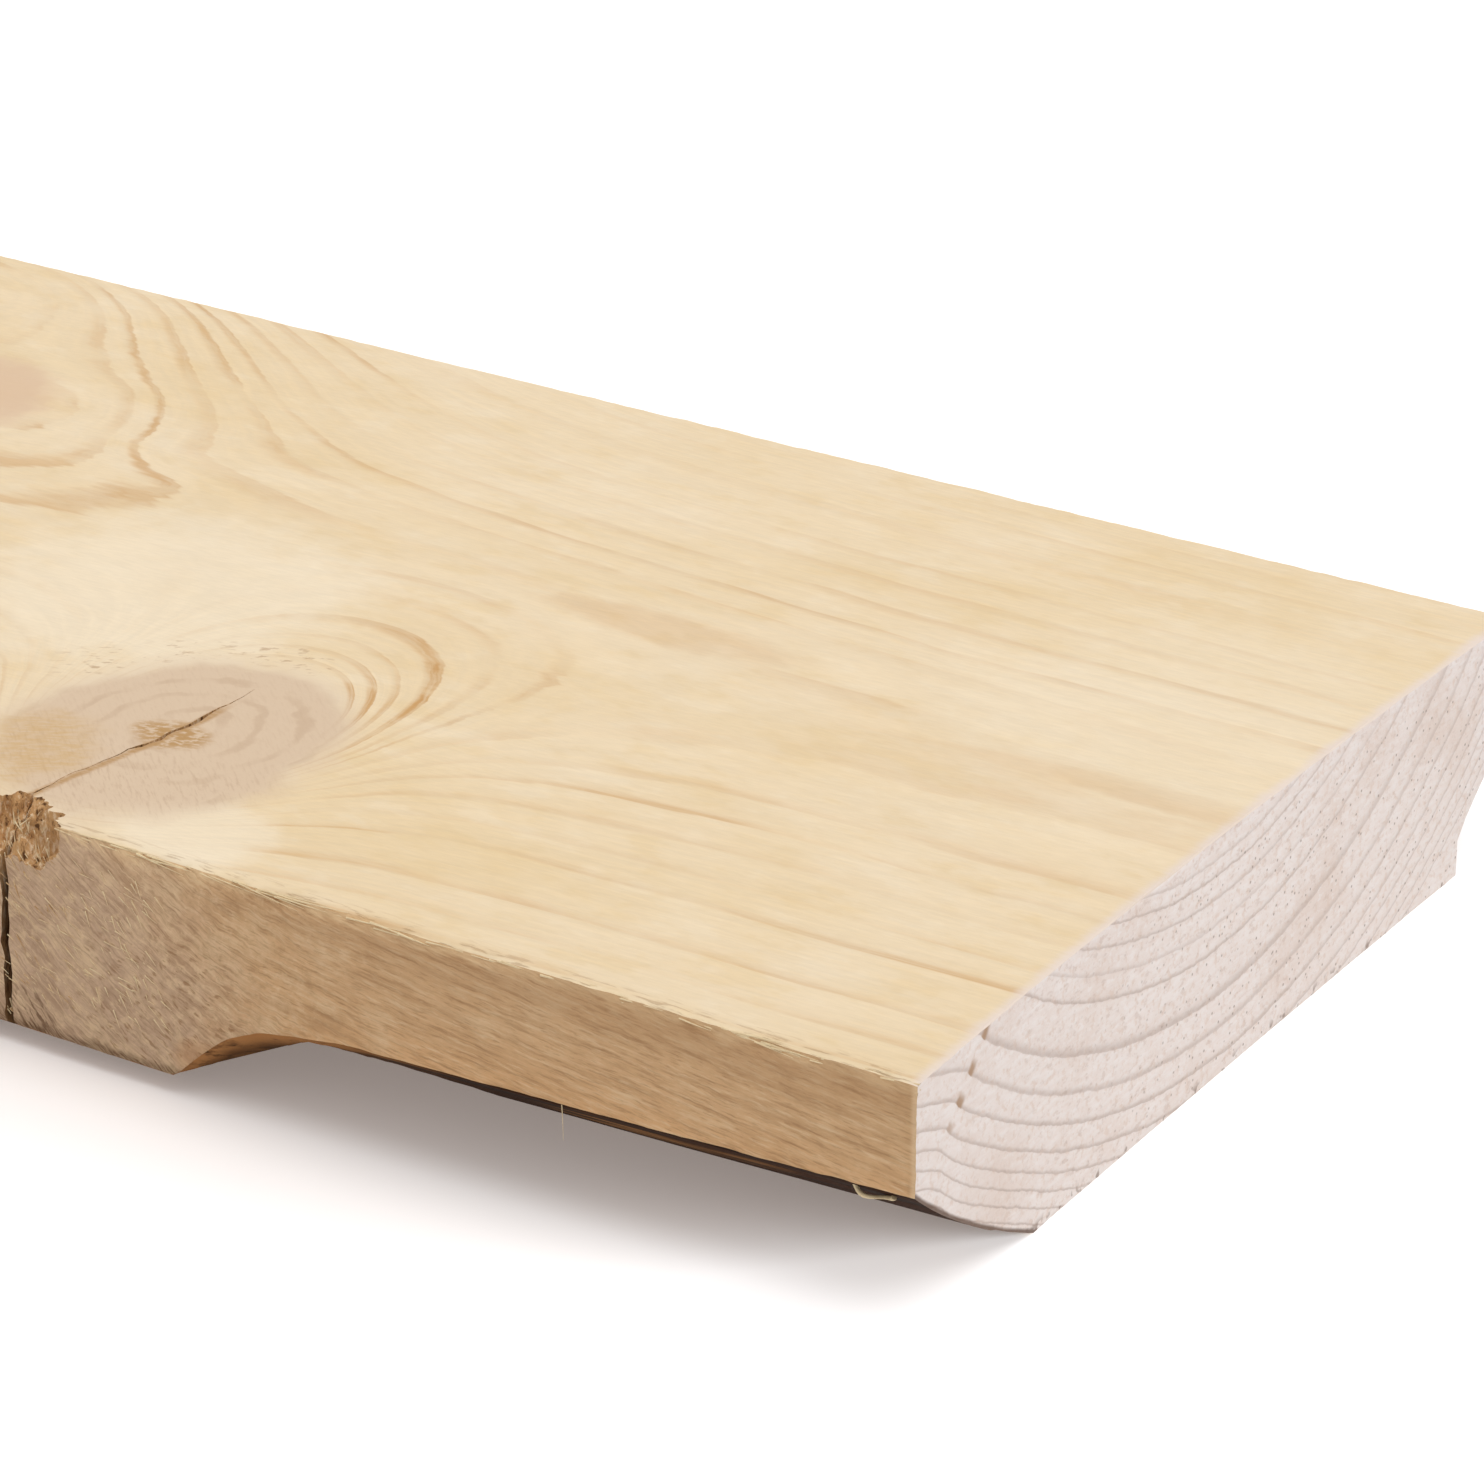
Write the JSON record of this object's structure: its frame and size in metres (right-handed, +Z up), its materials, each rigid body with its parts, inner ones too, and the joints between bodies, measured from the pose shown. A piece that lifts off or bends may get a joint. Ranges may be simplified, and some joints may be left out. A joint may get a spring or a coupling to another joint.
{
  "type": "waney edge board",
  "caption": "Flat sawn softwood board with a wide square-edged top and the log's natural wane and branch collars left along its lower arrises.",
  "frame": {"origin": "middle of the underside, halfway along the length and across the sawn width", "axes": "+X along the board to the trimmed end, +Y from the edge with the big knot to the opposite edge, +Z up through the thickness to the wide face"},
  "size_m": [1.8, 0.15, 0.032],
  "materials": {
    "wood": "smooth pale top, rough sawn edges, brown wane"
  },
  "bodies": {
    "root": {"board": "wood"}
  },
  "joints": []
}
